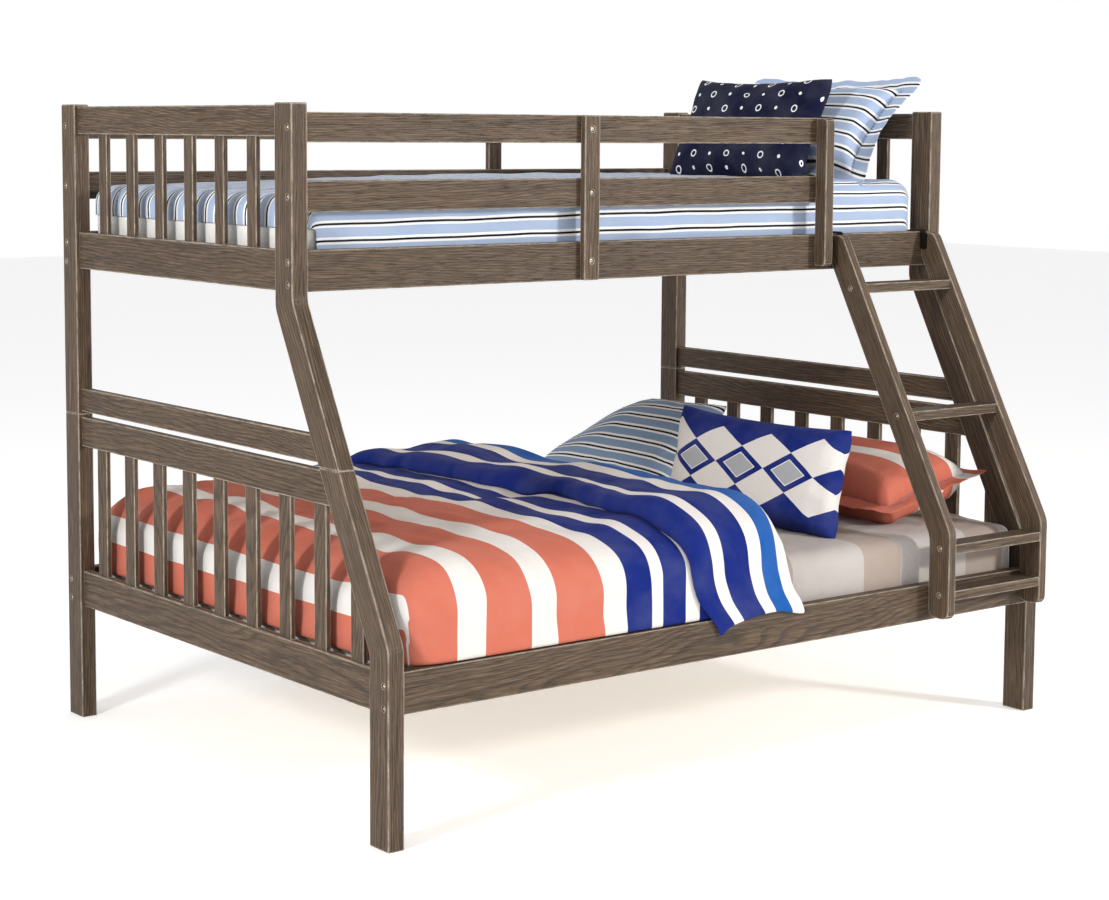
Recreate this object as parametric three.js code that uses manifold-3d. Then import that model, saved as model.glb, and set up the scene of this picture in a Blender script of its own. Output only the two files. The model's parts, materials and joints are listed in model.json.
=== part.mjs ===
// Bunk bed with a ladder: a narrow upper bunk stands on a wide lower bunk, and its front posts slant
// out to meet it. Millimetres, +Z up. X runs along the bed with the head at +X, the ladder is at -Y,
// and the origin is on the floor under the middle of the whole footprint.

import * as THREE from 'three';
import Module from 'manifold-3d';
import { RoundedBoxGeometry } from 'three/addons/geometries/RoundedBoxGeometry.js';
import { mergeVertices } from 'three/addons/utils/BufferGeometryUtils.js';

const wasm = await Module();
wasm.setup();

// ---- Driving dimensions -------------------------------------------------------------------------

const GAP = 0.3; // between pieces that touch

const LENGTH = 2020;
const LOWER_DEPTH = 1455;
const UPPER_DEPTH = 1088;
const SEAM_Z = 775; // where the upper bunk stands on the lower one
const TOP_Z = 1546;

const POST_X = 40; // post thickness along the bed
const POST_Y = 70; // post width across the bed
const SLANT_LOW_Z = 425; // the front posts slant between these two heights
const SLANT_TOP_Z = 1120;
const BEND_RADIUS = 60;
const EDGE = 2; // worn, eased edges
const CORNER = 5; // rounded corners of a board's outline

const RAIL_HEIGHT = 90;
const RAIL_THICK = 30;
const RAIL_INSET = 3; // rail face behind the post face
const LOWER_RAIL_Z = 286;
const UPPER_RAIL_Z = 1140;
const LEDGER = { lift: 10, height: 20, width: 22 }; // strip inside each side rail, under the slats

const GUARD_THICK = 24;
const GUARDS = { low: { z: 1311, height: 68 }, top: { z: 1461, height: 65 } };
const FRONT_GUARD_LENGTH = 1546; // the front guards stop here and leave the way in at the head
const BRACE = { width: 45, thick: 18 }; // upright board that ties the guards to the side rail
const END_BRACE = { width: 28, thick: 38, lift: 10, round: 14 }; // at the open end of the front guards

const END_THICK = 22; // rails of the two ends
const END_TOP = { z: 1473, height: 68 };
const END_LOWEST = { z: 782, height: 58 };
const LOWER_END_TOP = { z: 694, height: 74 };
const GROOVE = { width: 12.6, depth: 10.3 };
const TENON = { width: 12, depth: 10 };
const UPPER_SLAT = { width: 40, count: 6 };
const LOWER_SLAT = { width: 48, count: 9, pitch: 143.8, first: 138 };

const DECK = { count: 12, width: 66, thick: 15, tapeWidth: 30, tapeThick: 2, tapeEnd: 5, tapes: [0.2, 0.8] };

const STILE_THICK = 25;
const STILE_WIDTH = 67;
const LADDER_X = 603; // outer face of the ladder's foot-side stile
const LADDER_WIDTH = 365;
const LADDER_SLOPE = 0.545; // run over rise
const LADDER_BOTTOM_Z = 295;
const LADDER_BEND_Z = 512;
const LADDER_TOP_Z = 1228;
const STILE_ROUND = { foot: 22, head: 24, back: 10 };
const RUNG = { tops: [1107, 796, 482, 366], thick: 24, depth: 60, inset: 2 };
const HOOK = { thick: 4, arm: 6, drop: 26, plateDrop: 46, plateWidth: 22 };

const BOLT_BORE = { radius: 6.5, depth: 5 };
const BOLT_INSET = 18; // from the post's outer face to the middle of the side rail
const RAIL_BOLTS = [16, 64]; // above the rail's lower edge
const PIN = { radius: 5, half: 35, clearance: 0.5 };

const LOWER_MATTRESS = { length: 1914, depth: 1376, height: 155 };
const UPPER_MATTRESS = { length: 1920, depth: 1004, height: 195 };
const MATTRESS_ROUND = { lower: 35, upper: 50 };
const DUVET = { top: 112, headBack: 240, headFront: 190, side: 5, hem: 2, round: 45 };
const FOLD = { start: -150, lift: 5, height: 42, round: 60 }; // the duvet's head end folded back
const FLAP = {
  from: -110, to: 180, out: 22, drop: 44, thick: 20, below: 40, bridge: 70, reach: 40, round: 9,
}; // duvet corner over the front rail

// ---- Places worked out from the driving dimensions ----------------------------------------------

const LADDER_REACH = STILE_WIDTH - RAIL_INSET + GAP; // ladder foot in front of the posts
const BRACE_REACH = BRACE.thick - RAIL_INSET + GAP; // guard braces behind the posts
const FOOTPRINT_DEPTH = LADDER_REACH + LOWER_DEPTH + BRACE_REACH;
const FRONT = LADDER_REACH - FOOTPRINT_DEPTH / 2; // front face of the lower posts
const BACK = FRONT + LOWER_DEPTH;
const UPPER_FRONT = BACK - UPPER_DEPTH;
const HALF = LENGTH / 2;

const SLOPE = (UPPER_FRONT - FRONT) / (SLANT_TOP_Z - SLANT_LOW_Z);
const SLANT_WIDTH = POST_Y * Math.hypot(1, SLOPE); // slanted post, measured level
const INNER_BEND_DROP = (SLANT_WIDTH - POST_Y) / SLOPE;
const slantOuter = (z) => FRONT + (z - SLANT_LOW_Z) * SLOPE;
const slantInner = (z) => slantOuter(z) + SLANT_WIDTH;

const UPPER_RAIL_TOP = UPPER_RAIL_Z + RAIL_HEIGHT;
const LOWER_RAIL_TOP = LOWER_RAIL_Z + RAIL_HEIGHT;
const LEDGER_TOP = LEDGER.lift + LEDGER.height;
const DECK_TOP = LEDGER_TOP + GAP + DECK.thick; // above the rail's lower edge
const LOWER_BED_Z = LOWER_RAIL_Z + DECK_TOP + GAP;
const UPPER_BED_Z = UPPER_RAIL_Z + DECK_TOP + GAP;
const GUARD_BOLTS = [GUARDS.low, GUARDS.top].map((g) => g.z + g.height / 2);
const UPPER_BOLTS = [...RAIL_BOLTS.map((z) => UPPER_RAIL_Z + z), ...GUARD_BOLTS];
const LOWER_BOLTS = RAIL_BOLTS.map((z) => LOWER_RAIL_Z + z);

// ---- Materials ----------------------------------------------------------------------------------

const WOOD = { color: 0x6f5d4d, roughness: 0.62, metalness: 0 };
const STEEL = { color: 0x3a3836, roughness: 0.35, metalness: 1 };
const DECK_WOOD = { color: 0xb99c74, roughness: 0.7, metalness: 0 };
const fabric = (color) => ({ color, roughness: 0.9, metalness: 0 });

// ---- Geometry helpers ---------------------------------------------------------------------------

// An outline from corners [a, b, radius]; a corner with a radius is rounded.
function outline(corners) {
  const shape = new THREE.Shape();
  const count = corners.length;
  corners.forEach(([a, b, radius = 0], i) => {
    const here = new THREE.Vector2(a, b);
    const [beforeA, beforeB] = corners[(i + count - 1) % count];
    const [afterA, afterB] = corners[(i + 1) % count];
    const back = new THREE.Vector2(beforeA, beforeB).sub(here).normalize();
    const ahead = new THREE.Vector2(afterA, afterB).sub(here).normalize();
    const reach = radius / Math.tan(back.angleTo(ahead) / 2);
    const start = here.clone().addScaledVector(back, reach);
    const end = here.clone().addScaledVector(ahead, reach);
    if (i === 0) shape.moveTo(start.x, start.y);
    else shape.lineTo(start.x, start.y);
    if (radius > 0) shape.quadraticCurveTo(here.x, here.y, end.x, end.y);
  });
  shape.closePath();
  return shape;
}

function rectangle(a0, b0, a1, b1, radius = 0) {
  return outline([[a0, b0, radius], [a1, b0, radius], [a1, b1, radius], [a0, b1, radius]]);
}

// An outline made into a board of that length along +Z, its long edges eased by `edge`.
function board(shape, length, edge) {
  return new THREE.ExtrudeGeometry(shape, {
    depth: length - 2 * edge,
    bevelEnabled: edge > 0,
    bevelThickness: edge,
    bevelSize: edge,
    bevelOffset: -edge,
    bevelSegments: 2,
    curveSegments: 3,
  });
}

// A (y, z) outline made into a board between x0 and x1.
function boardAlongX(shape, x0, x1, edge = 0) {
  const geometry = board(shape, x1 - x0, edge);
  geometry.rotateX(Math.PI / 2);
  geometry.rotateZ(Math.PI / 2);
  geometry.translate(x0 + edge, 0, 0);
  return geometry;
}

// An (x, z) outline made into a board between y0 and y1.
function boardAlongY(shape, y0, y1, edge = 0) {
  const geometry = board(shape, y1 - y0, edge);
  geometry.rotateX(Math.PI / 2);
  geometry.translate(0, y1 - edge, 0);
  return geometry;
}

// An (x, y) outline made into an upright board between z0 and z1.
function boardAlongZ(shape, z0, z1) {
  const geometry = board(shape, z1 - z0, 0);
  geometry.translate(0, 0, z0);
  return geometry;
}

function box(x0, x1, y0, y1, z0, z1) {
  const geometry = new THREE.BoxGeometry(x1 - x0, y1 - y0, z1 - z0);
  geometry.translate((x0 + x1) / 2, (y0 + y1) / 2, (z0 + z1) / 2);
  return geometry;
}

// A cylinder between two depths along one axis ('x', 'y' or 'z').
function rod(axis, radius, from, to, [a, b]) {
  const geometry = new THREE.CylinderGeometry(radius, radius, to - from, 16);
  const middle = (from + to) / 2;
  if (axis === 'x') geometry.rotateZ(Math.PI / 2).translate(middle, a, b);
  if (axis === 'y') geometry.translate(a, middle, b);
  if (axis === 'z') geometry.rotateX(Math.PI / 2).translate(a, b, middle);
  return geometry;
}

function toSolid(geometry) {
  const bare = geometry.clone();
  bare.deleteAttribute('normal');
  bare.deleteAttribute('uv');
  const merged = mergeVertices(bare, 1e-3);
  const mesh = new wasm.Mesh({
    numProp: 3,
    vertProperties: new Float32Array(merged.attributes.position.array),
    triVerts: new Uint32Array(merged.index.array),
  });
  mesh.merge();
  return new wasm.Manifold(mesh);
}

function toGeometry(solid) {
  const mesh = solid.getMesh();
  const geometry = new THREE.BufferGeometry();
  geometry.setAttribute('position', new THREE.BufferAttribute(new Float32Array(mesh.vertProperties), 3));
  geometry.setIndex(new THREE.BufferAttribute(new Uint32Array(mesh.triVerts), 1));
  geometry.computeVertexNormals();
  return geometry;
}

function cut(geometry, cutters) {
  const tools = cutters.map(toSolid);
  return toGeometry(wasm.Manifold.difference([toSolid(geometry), ...tools]));
}

function join(geometries) {
  return toGeometry(wasm.Manifold.union(geometries.map(toSolid)));
}

const bed = new THREE.Group();

function add(name, geometry, finish) {
  const mesh = new THREE.Mesh(geometry, new THREE.MeshStandardMaterial(finish));
  mesh.name = name;
  bed.add(mesh);
  return mesh;
}

// ---- Posts --------------------------------------------------------------------------------------

const ENDS = [{ name: 'foot', side: -1 }, { name: 'head', side: 1 }];
const postStart = (side) => (side < 0 ? -HALF : HALF - POST_X);

// Round recesses for bolt heads in the outer face of a post, one at each height.
function boltBores(side, y, heights) {
  const face = side * HALF;
  const from = side < 0 ? face - 1 : face - BOLT_BORE.depth;
  return heights.map((z) => rod('x', BOLT_BORE.radius, from, from + BOLT_BORE.depth + 1, [y, z]));
}

function pinHole(x, y) {
  const radius = PIN.radius + PIN.clearance;
  return rod('z', radius, SEAM_Z - PIN.half - 1, SEAM_Z + PIN.half + 1, [x, y]);
}

const FRONT_PIN_Y = (slantOuter(SEAM_Z) + slantInner(SEAM_Z)) / 2;
const BACK_PIN_Y = BACK - POST_Y / 2;

const lowerFrontShape = outline([
  [FRONT, 0],
  [FRONT + POST_Y, 0],
  [FRONT + POST_Y, SLANT_LOW_Z - INNER_BEND_DROP, BEND_RADIUS],
  [slantInner(SEAM_Z), SEAM_Z - GAP / 2],
  [slantOuter(SEAM_Z), SEAM_Z - GAP / 2],
  [FRONT, SLANT_LOW_Z, BEND_RADIUS],
]);
const upperFrontShape = outline([
  [slantOuter(SEAM_Z), SEAM_Z + GAP / 2],
  [slantInner(SEAM_Z), SEAM_Z + GAP / 2],
  [UPPER_FRONT + POST_Y, SLANT_TOP_Z - INNER_BEND_DROP, BEND_RADIUS],
  [UPPER_FRONT + POST_Y, TOP_Z, CORNER],
  [UPPER_FRONT, TOP_Z, CORNER],
  [UPPER_FRONT, SLANT_TOP_Z, BEND_RADIUS],
]);
const lowerBackShape = rectangle(BACK - POST_Y, 0, BACK, SEAM_Z - GAP / 2);
const upperBackShape = outline([
  [BACK - POST_Y, SEAM_Z + GAP / 2],
  [BACK, SEAM_Z + GAP / 2],
  [BACK, TOP_Z, CORNER],
  [BACK - POST_Y, TOP_Z, CORNER],
]);

for (const { name, side } of ENDS) {
  const x0 = postStart(side);
  const x1 = x0 + POST_X;
  const middle = x0 + POST_X / 2;
  const post = (shape) => boardAlongX(shape, x0, x1, EDGE);
  const backBoltY = BACK - BOLT_INSET;
  const posts = [
    ['lower_post_front', lowerFrontShape, FRONT_PIN_Y, FRONT + BOLT_INSET, LOWER_BOLTS],
    ['lower_post_back', lowerBackShape, BACK_PIN_Y, backBoltY, LOWER_BOLTS],
    ['upper_post_front', upperFrontShape, FRONT_PIN_Y, UPPER_FRONT + BOLT_INSET, UPPER_BOLTS],
    ['upper_post_back', upperBackShape, BACK_PIN_Y, backBoltY, UPPER_BOLTS],
  ];
  for (const [kind, shape, pinY, boltY, bolts] of posts) {
    const cutters = [pinHole(middle, pinY), ...boltBores(side, boltY, bolts)];
    add(`${kind}_${name}`, cut(post(shape), cutters), WOOD);
  }
  for (const [row, y] of [['front', FRONT_PIN_Y], ['back', BACK_PIN_Y]]) {
    const pin = rod('z', PIN.radius, SEAM_Z - PIN.half, SEAM_Z + PIN.half, [middle, y]);
    add(`seam_pin_${row}_${name}`, pin, STEEL);
  }
}

// ---- End rails and their upright slats ----------------------------------------------------------

const endMiddle = (side) => side * (HALF - POST_X / 2);

function endRail(side, corners, grooveZ) {
  const x0 = endMiddle(side) - END_THICK / 2;
  const rail = boardAlongX(outline(corners), x0, x0 + END_THICK, EDGE);
  if (grooveZ === undefined) return rail;
  const half = GROOVE.width / 2;
  const middle = endMiddle(side);
  const groove = box(middle - half, middle + half, FRONT, BACK, grooveZ[0], grooveZ[1]);
  return cut(rail, [groove]);
}

function levelCorners(yFront, yBack, z, height) {
  return [[yFront, z], [yBack, z], [yBack, z + height], [yFront, z + height]];
}

// A rail whose front end is cut on the slant, against the slanted post.
function slantCorners(z, height) {
  const yBack = BACK - POST_Y - GAP;
  const top = z + height;
  return [[slantInner(z) + GAP, z], [yBack, z], [yBack, top], [slantInner(top) + GAP, top]];
}

const grooveUp = (railTop) => [railTop - GROOVE.depth, railTop + 1];
const grooveDown = (railBottom) => [railBottom - 1, railBottom + GROOVE.depth];

// Upright slats held in the two grooves, with the filler strips that space them.
function slatPanel(side, centres, width, z0, z1, strips) {
  const middle = endMiddle(side);
  const half = TENON.width / 2;
  const slats = centres.map((y) =>
    boardAlongZ(rectangle(middle - half, y - width / 2, middle + half, y + width / 2, EDGE), z0, z1));
  const fillers = strips.map(([y0, y1, from, to]) => box(middle - half, middle + half, y0, y1, from, to));
  return join([...slats, ...fillers]);
}

const BACK_INNER = BACK - POST_Y - GAP;
const UPPER_INNER = UPPER_FRONT + POST_Y + GAP;
const upperSpan = BACK_INNER - UPPER_INNER;
const upperGap = (upperSpan - UPPER_SLAT.count * UPPER_SLAT.width) / (UPPER_SLAT.count + 1);
const upperCentres = Array.from({ length: UPPER_SLAT.count }, (_, i) =>
  UPPER_INNER + upperGap * (i + 1) + UPPER_SLAT.width * (i + 0.5));
const lowerCentres = Array.from({ length: LOWER_SLAT.count }, (_, i) =>
  FRONT + LOWER_SLAT.first + LOWER_SLAT.pitch * i);

for (const { name, side } of ENDS) {
  const upperRail = (z, height) => levelCorners(UPPER_INNER, BACK_INNER, z, height);
  const lowerRail = levelCorners(FRONT + POST_Y + GAP, BACK_INNER, LOWER_RAIL_Z, RAIL_HEIGHT);
  add(`upper_end_rail_top_${name}`,
    endRail(side, upperRail(END_TOP.z, END_TOP.height), grooveDown(END_TOP.z)), WOOD);
  add(`upper_end_rail_middle_${name}`,
    endRail(side, upperRail(UPPER_RAIL_Z, RAIL_HEIGHT), grooveUp(UPPER_RAIL_TOP)), WOOD);
  add(`upper_end_rail_low_${name}`,
    endRail(side, slantCorners(END_LOWEST.z, END_LOWEST.height)), WOOD);
  add(`lower_end_rail_top_${name}`,
    endRail(side, slantCorners(LOWER_END_TOP.z, LOWER_END_TOP.height), grooveDown(LOWER_END_TOP.z)), WOOD);
  add(`lower_end_rail_low_${name}`, endRail(side, lowerRail, grooveUp(LOWER_RAIL_TOP)), WOOD);

  const upperBottom = UPPER_RAIL_TOP - TENON.depth;
  const upperTop = END_TOP.z + TENON.depth;
  add(`upper_slats_${name}`, slatPanel(side, upperCentres, UPPER_SLAT.width, upperBottom, upperTop, [
    [UPPER_INNER + GAP, BACK_INNER - GAP, upperBottom, UPPER_RAIL_TOP],
    [UPPER_INNER + GAP, BACK_INNER - GAP, END_TOP.z, upperTop],
  ]), WOOD);

  const lowerBottom = LOWER_RAIL_TOP - TENON.depth;
  const lowerTop = LOWER_END_TOP.z + TENON.depth;
  const lowerPanel = slatPanel(side, lowerCentres, LOWER_SLAT.width, lowerBottom, lowerTop, [
    [FRONT + POST_Y + 2 * GAP, BACK_INNER - GAP, lowerBottom, LOWER_RAIL_TOP],
    [slantInner(lowerTop) + 2 * GAP, BACK_INNER - GAP, LOWER_END_TOP.z, lowerTop],
  ]);
  // The frontmost slat ends against the slanted post.
  const clearance = 2 * GAP;
  const reach = POST_Y;
  const z0 = SLANT_LOW_Z - INNER_BEND_DROP - reach;
  const z1 = SEAM_Z;
  const underPost = boardAlongX(outline([
    [slantInner(z0) + clearance - reach * 3, z0],
    [slantInner(z0) + clearance, z0],
    [slantInner(z1) + clearance, z1],
    [slantInner(z1) + clearance - reach * 3, z1],
  ]), endMiddle(side) - END_THICK, endMiddle(side) + END_THICK);
  add(`lower_slats_${name}`, cut(lowerPanel, [underPost]), WOOD);
}

// ---- Side rails, each with its ledger strip -----------------------------------------------------

const RAIL_START = -HALF + POST_X + GAP;
const RAIL_END = HALF - POST_X - GAP;

// `outer` is the rail's outer face and `inward` points from it into the bed.
function sideRail(outer, inward, z) {
  const y = (depth) => outer + inward * depth;
  const low = z + LEDGER.lift;
  const high = low + LEDGER.height;
  const corners = [
    [y(0), z, EDGE],
    [y(RAIL_THICK), z, EDGE],
    [y(RAIL_THICK), low],
    [y(RAIL_THICK + LEDGER.width), low],
    [y(RAIL_THICK + LEDGER.width), high],
    [y(RAIL_THICK), high],
    [y(RAIL_THICK), z + RAIL_HEIGHT, EDGE],
    [y(0), z + RAIL_HEIGHT, EDGE],
  ];
  return boardAlongX(outline(corners), RAIL_START, RAIL_END);
}

const LOWER_FACE = FRONT + RAIL_INSET;
const UPPER_FACE = UPPER_FRONT + RAIL_INSET;
const BACK_FACE = BACK - RAIL_INSET;

add('lower_side_rail_front', sideRail(LOWER_FACE, 1, LOWER_RAIL_Z), WOOD);
add('lower_side_rail_back', sideRail(BACK_FACE, -1, LOWER_RAIL_Z), WOOD);
add('upper_side_rail_front', sideRail(UPPER_FACE, 1, UPPER_RAIL_Z), WOOD);
add('upper_side_rail_back', sideRail(BACK_FACE, -1, UPPER_RAIL_Z), WOOD);

// ---- Guard rails and the uprights that carry them -----------------------------------------------

const FRONT_GUARD_END = RAIL_START + FRONT_GUARD_LENGTH;

for (const [level, { z, height }] of Object.entries(GUARDS)) {
  const front = rectangle(UPPER_FACE, z, UPPER_FACE + GUARD_THICK, z + height, EDGE);
  const back = rectangle(BACK_FACE - GUARD_THICK, z, BACK_FACE, z + height, EDGE);
  add(`guard_rail_front_${level}`, boardAlongX(front, RAIL_START, FRONT_GUARD_END), WOOD);
  add(`guard_rail_back_${level}`, boardAlongX(back, RAIL_START, RAIL_END), WOOD);
}

const GUARD_TOP_Z = GUARDS.top.z + GUARDS.top.height;
const BRACE_BOLTS = [UPPER_RAIL_Z + RAIL_HEIGHT / 2, ...GUARD_BOLTS];

// A flat upright over the outer faces of the rails; `outward` is -1 at the front and 1 at the back.
function brace(middle, outward) {
  const face = outward < 0 ? UPPER_FACE - GAP : BACK_FACE + GAP;
  const far = face + outward * BRACE.thick;
  const x0 = middle - BRACE.width / 2;
  const shape = rectangle(x0, UPPER_RAIL_Z, x0 + BRACE.width, GUARD_TOP_Z, CORNER);
  const board = boardAlongY(shape, Math.min(face, far), Math.max(face, far), EDGE);
  const start = outward < 0 ? far - 1 : far - BOLT_BORE.depth;
  const end = start + BOLT_BORE.depth + 1;
  return cut(board, BRACE_BOLTS.map((z) => rod('y', BOLT_BORE.radius, start, end, [middle, z])));
}

add('guard_brace_front', brace((RAIL_START + FRONT_GUARD_END) / 2, -1), WOOD);
add('guard_brace_back_foot', brace(-LENGTH / 6, 1), WOOD);
add('guard_brace_back_head', brace(LENGTH / 6, 1), WOOD);

const endBraceFar = UPPER_FACE - GAP - END_BRACE.thick;
const endBraceFoot = UPPER_RAIL_Z + END_BRACE.lift;
add('guard_brace_front_end', boardAlongX(outline([
  [endBraceFar, endBraceFoot, END_BRACE.round],
  [UPPER_FACE - GAP, endBraceFoot, CORNER],
  [UPPER_FACE - GAP, GUARD_TOP_Z, CORNER],
  [endBraceFar, GUARD_TOP_Z, END_BRACE.round],
]), FRONT_GUARD_END - END_BRACE.width, FRONT_GUARD_END, EDGE), WOOD);

// ---- Slat decks ---------------------------------------------------------------------------------

// Boards across the bed, tied together by two tapes on their undersides.
function deck(front, back, railZ) {
  const z0 = railZ + LEDGER_TOP + GAP;
  const z1 = z0 + DECK.thick;
  const y0 = front + RAIL_THICK + GAP * 3;
  const y1 = back - RAIL_THICK - GAP * 3;
  const start = RAIL_START + GAP;
  const span = RAIL_END - GAP - start - DECK.width;
  const boards = Array.from({ length: DECK.count }, (_, i) => {
    const x0 = start + (span * i) / (DECK.count - 1);
    return boardAlongY(rectangle(x0, z0, x0 + DECK.width, z1, EDGE), y0, y1);
  });
  const tapes = DECK.tapes.map((share) => {
    const middle = y0 + (y1 - y0) * share;
    const low = z0 - DECK.tapeThick / 2;
    const end = start + span + DECK.width - DECK.tapeEnd;
    return box(start + DECK.tapeEnd, end, middle - DECK.tapeWidth / 2,
      middle + DECK.tapeWidth / 2, low, low + DECK.tapeThick);
  });
  return join([...boards, ...tapes]);
}

add('lower_slat_deck', deck(LOWER_FACE, BACK_FACE, LOWER_RAIL_Z), DECK_WOOD);
add('upper_slat_deck', deck(UPPER_FACE, BACK_FACE, UPPER_RAIL_Z), DECK_WOOD);

// ---- Ladder -------------------------------------------------------------------------------------

const LADDER_BACK = LOWER_FACE - GAP; // stands flat against the lower side rail
const LADDER_FRONT = LADDER_BACK - STILE_WIDTH;
const STILE_LEVEL = STILE_WIDTH * Math.hypot(1, LADDER_SLOPE);
const LADDER_HEAD = UPPER_FACE - GAP; // the top stands against the upper side rail
const stileFront = (z) => LADDER_FRONT + Math.max(0, z - LADDER_BEND_Z) * LADDER_SLOPE;
const stileBackBend = LADDER_BEND_Z - (STILE_LEVEL - STILE_WIDTH) / LADDER_SLOPE;
const stileHeadBend = stileBackBend + (LADDER_HEAD - LADDER_BACK) / LADDER_SLOPE;

const stileShape = outline([
  [LADDER_FRONT, LADDER_BOTTOM_Z, STILE_ROUND.foot],
  [LADDER_BACK, LADDER_BOTTOM_Z, STILE_ROUND.foot],
  [LADDER_BACK, stileBackBend, BEND_RADIUS],
  [LADDER_HEAD, stileHeadBend, STILE_ROUND.back],
  [LADDER_HEAD, LADDER_TOP_Z, CORNER],
  [stileFront(LADDER_TOP_Z), LADDER_TOP_Z, STILE_ROUND.head],
  [LADDER_FRONT, LADDER_BEND_Z, BEND_RADIUS],
]);

const rungMiddle = (top) => [stileFront(top) + RUNG.depth / 2 + RUNG.inset, top - RUNG.thick / 2];

const STILES = [
  { name: 'foot', x0: LADDER_X, outer: -1 },
  { name: 'head', x0: LADDER_X + LADDER_WIDTH - STILE_THICK, outer: 1 },
];

for (const { name, x0, outer } of STILES) {
  const x1 = x0 + STILE_THICK;
  const from = outer < 0 ? x0 - 1 : x1 - BOLT_BORE.depth;
  const bores = RUNG.tops.map((top) =>
    rod('x', BOLT_BORE.radius, from, from + BOLT_BORE.depth + 1, rungMiddle(top)));
  add(`ladder_stile_${name}`, cut(boardAlongX(stileShape, x0, x1, EDGE), bores), WOOD);
}

const RUNG_START = LADDER_X + STILE_THICK + GAP;
const RUNG_END = LADDER_X + LADDER_WIDTH - STILE_THICK - GAP;

RUNG.tops.forEach((top, i) => {
  const [y, z] = rungMiddle(top);
  const shape = rectangle(y - RUNG.depth / 2, z - RUNG.thick / 2, y + RUNG.depth / 2, top, EDGE);
  add(`ladder_rung_${i + 1}`, boardAlongX(shape, RUNG_START, RUNG_END), WOOD);
});

// Steel hooks on the inner faces of the stiles, over the top edge of the upper side rail.
const hookLow = UPPER_RAIL_TOP + 2 * GAP;
const hookRear = UPPER_FACE + RAIL_THICK + GAP;
const hookShape = outline([
  [LADDER_HEAD - HOOK.plateWidth, UPPER_RAIL_TOP - HOOK.plateDrop, 4],
  [LADDER_HEAD - GAP, UPPER_RAIL_TOP - HOOK.plateDrop, 4],
  [LADDER_HEAD - GAP, hookLow],
  [hookRear, hookLow],
  [hookRear, UPPER_RAIL_TOP - HOOK.drop, 1],
  [hookRear + HOOK.arm, UPPER_RAIL_TOP - HOOK.drop, 2],
  [hookRear + HOOK.arm, hookLow + HOOK.arm, 5],
  [LADDER_HEAD - HOOK.plateWidth, hookLow + HOOK.arm, 12],
]);
const hookStarts = { foot: RUNG_START, head: RUNG_END - HOOK.thick };

for (const [name, x0] of Object.entries(hookStarts)) {
  add(`ladder_hook_${name}`, boardAlongX(hookShape, x0, x0 + HOOK.thick), STEEL);
}

// ---- Bedding ------------------------------------------------------------------------------------

function softBlock(x0, x1, y0, y1, z0, z1, radius) {
  const geometry = new RoundedBoxGeometry(x1 - x0, y1 - y0, z1 - z0, 3, radius);
  geometry.translate((x0 + x1) / 2, (y0 + y1) / 2, (z0 + z1) / 2);
  return toGeometry(toSolid(geometry));
}

const POST_INNER = HALF - POST_X;
const lowerMiddleY = (LOWER_FACE + BACK_FACE) / 2;
const upperMiddleY = (UPPER_FACE + BACK_FACE) / 2;
const LOWER_BED_HEAD = POST_INNER - 3;
const LOWER_BED_FOOT = LOWER_BED_HEAD - LOWER_MATTRESS.length;
const LOWER_BED_TOP = LOWER_BED_Z + LOWER_MATTRESS.height;
const UPPER_BED_TOP = UPPER_BED_Z + UPPER_MATTRESS.height;

add('lower_mattress', softBlock(LOWER_BED_FOOT, LOWER_BED_HEAD,
  lowerMiddleY - LOWER_MATTRESS.depth / 2, lowerMiddleY + LOWER_MATTRESS.depth / 2,
  LOWER_BED_Z, LOWER_BED_TOP, MATTRESS_ROUND.lower), fabric(0xc9bfb2));
add('upper_mattress', softBlock(-UPPER_MATTRESS.length / 2, UPPER_MATTRESS.length / 2,
  upperMiddleY - UPPER_MATTRESS.depth / 2, upperMiddleY + UPPER_MATTRESS.depth / 2,
  UPPER_BED_Z, UPPER_BED_TOP, MATTRESS_ROUND.upper), fabric(0xaebfe0));

// The duvet lies over the mattress, hangs down to the rails at the foot and both sides, and is folded
// back at the head, where one corner hangs over the front rail.
function duvet() {
  const foot = GAP - POST_INNER;
  const front = LOWER_FACE + DUVET.side;
  const back = BACK_FACE - DUVET.side;
  const head = Math.max(DUVET.headBack, DUVET.headFront);
  const hem = LOWER_RAIL_TOP + DUVET.hem;
  const top = LOWER_BED_TOP + DUVET.top;
  const flapFace = FRONT - FLAP.out;
  const flapTop = top - FLAP.below;
  const cover = softBlock(foot, head, front, back, hem, top, DUVET.round);
  const fold = softBlock(FOLD.start, head, front, back,
    LOWER_BED_TOP + FOLD.lift, top + FOLD.height, FOLD.round);
  const flap = softBlock(FLAP.from, FLAP.to, flapFace, flapFace + FLAP.thick,
    LOWER_RAIL_TOP - FLAP.drop, flapTop, FLAP.round);
  const bridge = softBlock(FLAP.from, FLAP.to, flapFace, front + FLAP.reach,
    flapTop - FLAP.bridge, flapTop, FLAP.round);
  const clear = 1;
  const hollow = box(LOWER_BED_FOOT - clear, HALF, lowerMiddleY - LOWER_MATTRESS.depth / 2 - clear,
    lowerMiddleY + LOWER_MATTRESS.depth / 2 + clear, 0, LOWER_BED_TOP + clear);
  const pastHead = boardAlongZ(outline([
    [DUVET.headFront, front - 1], [HALF, front - 1], [HALF, back + 1], [DUVET.headBack, back + 1],
  ]), 0, TOP_Z);
  return cut(join([cover, fold, flap, bridge]), [hollow, pastHead]);
}

add('duvet', duvet(), fabric(0xd9705f));

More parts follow.
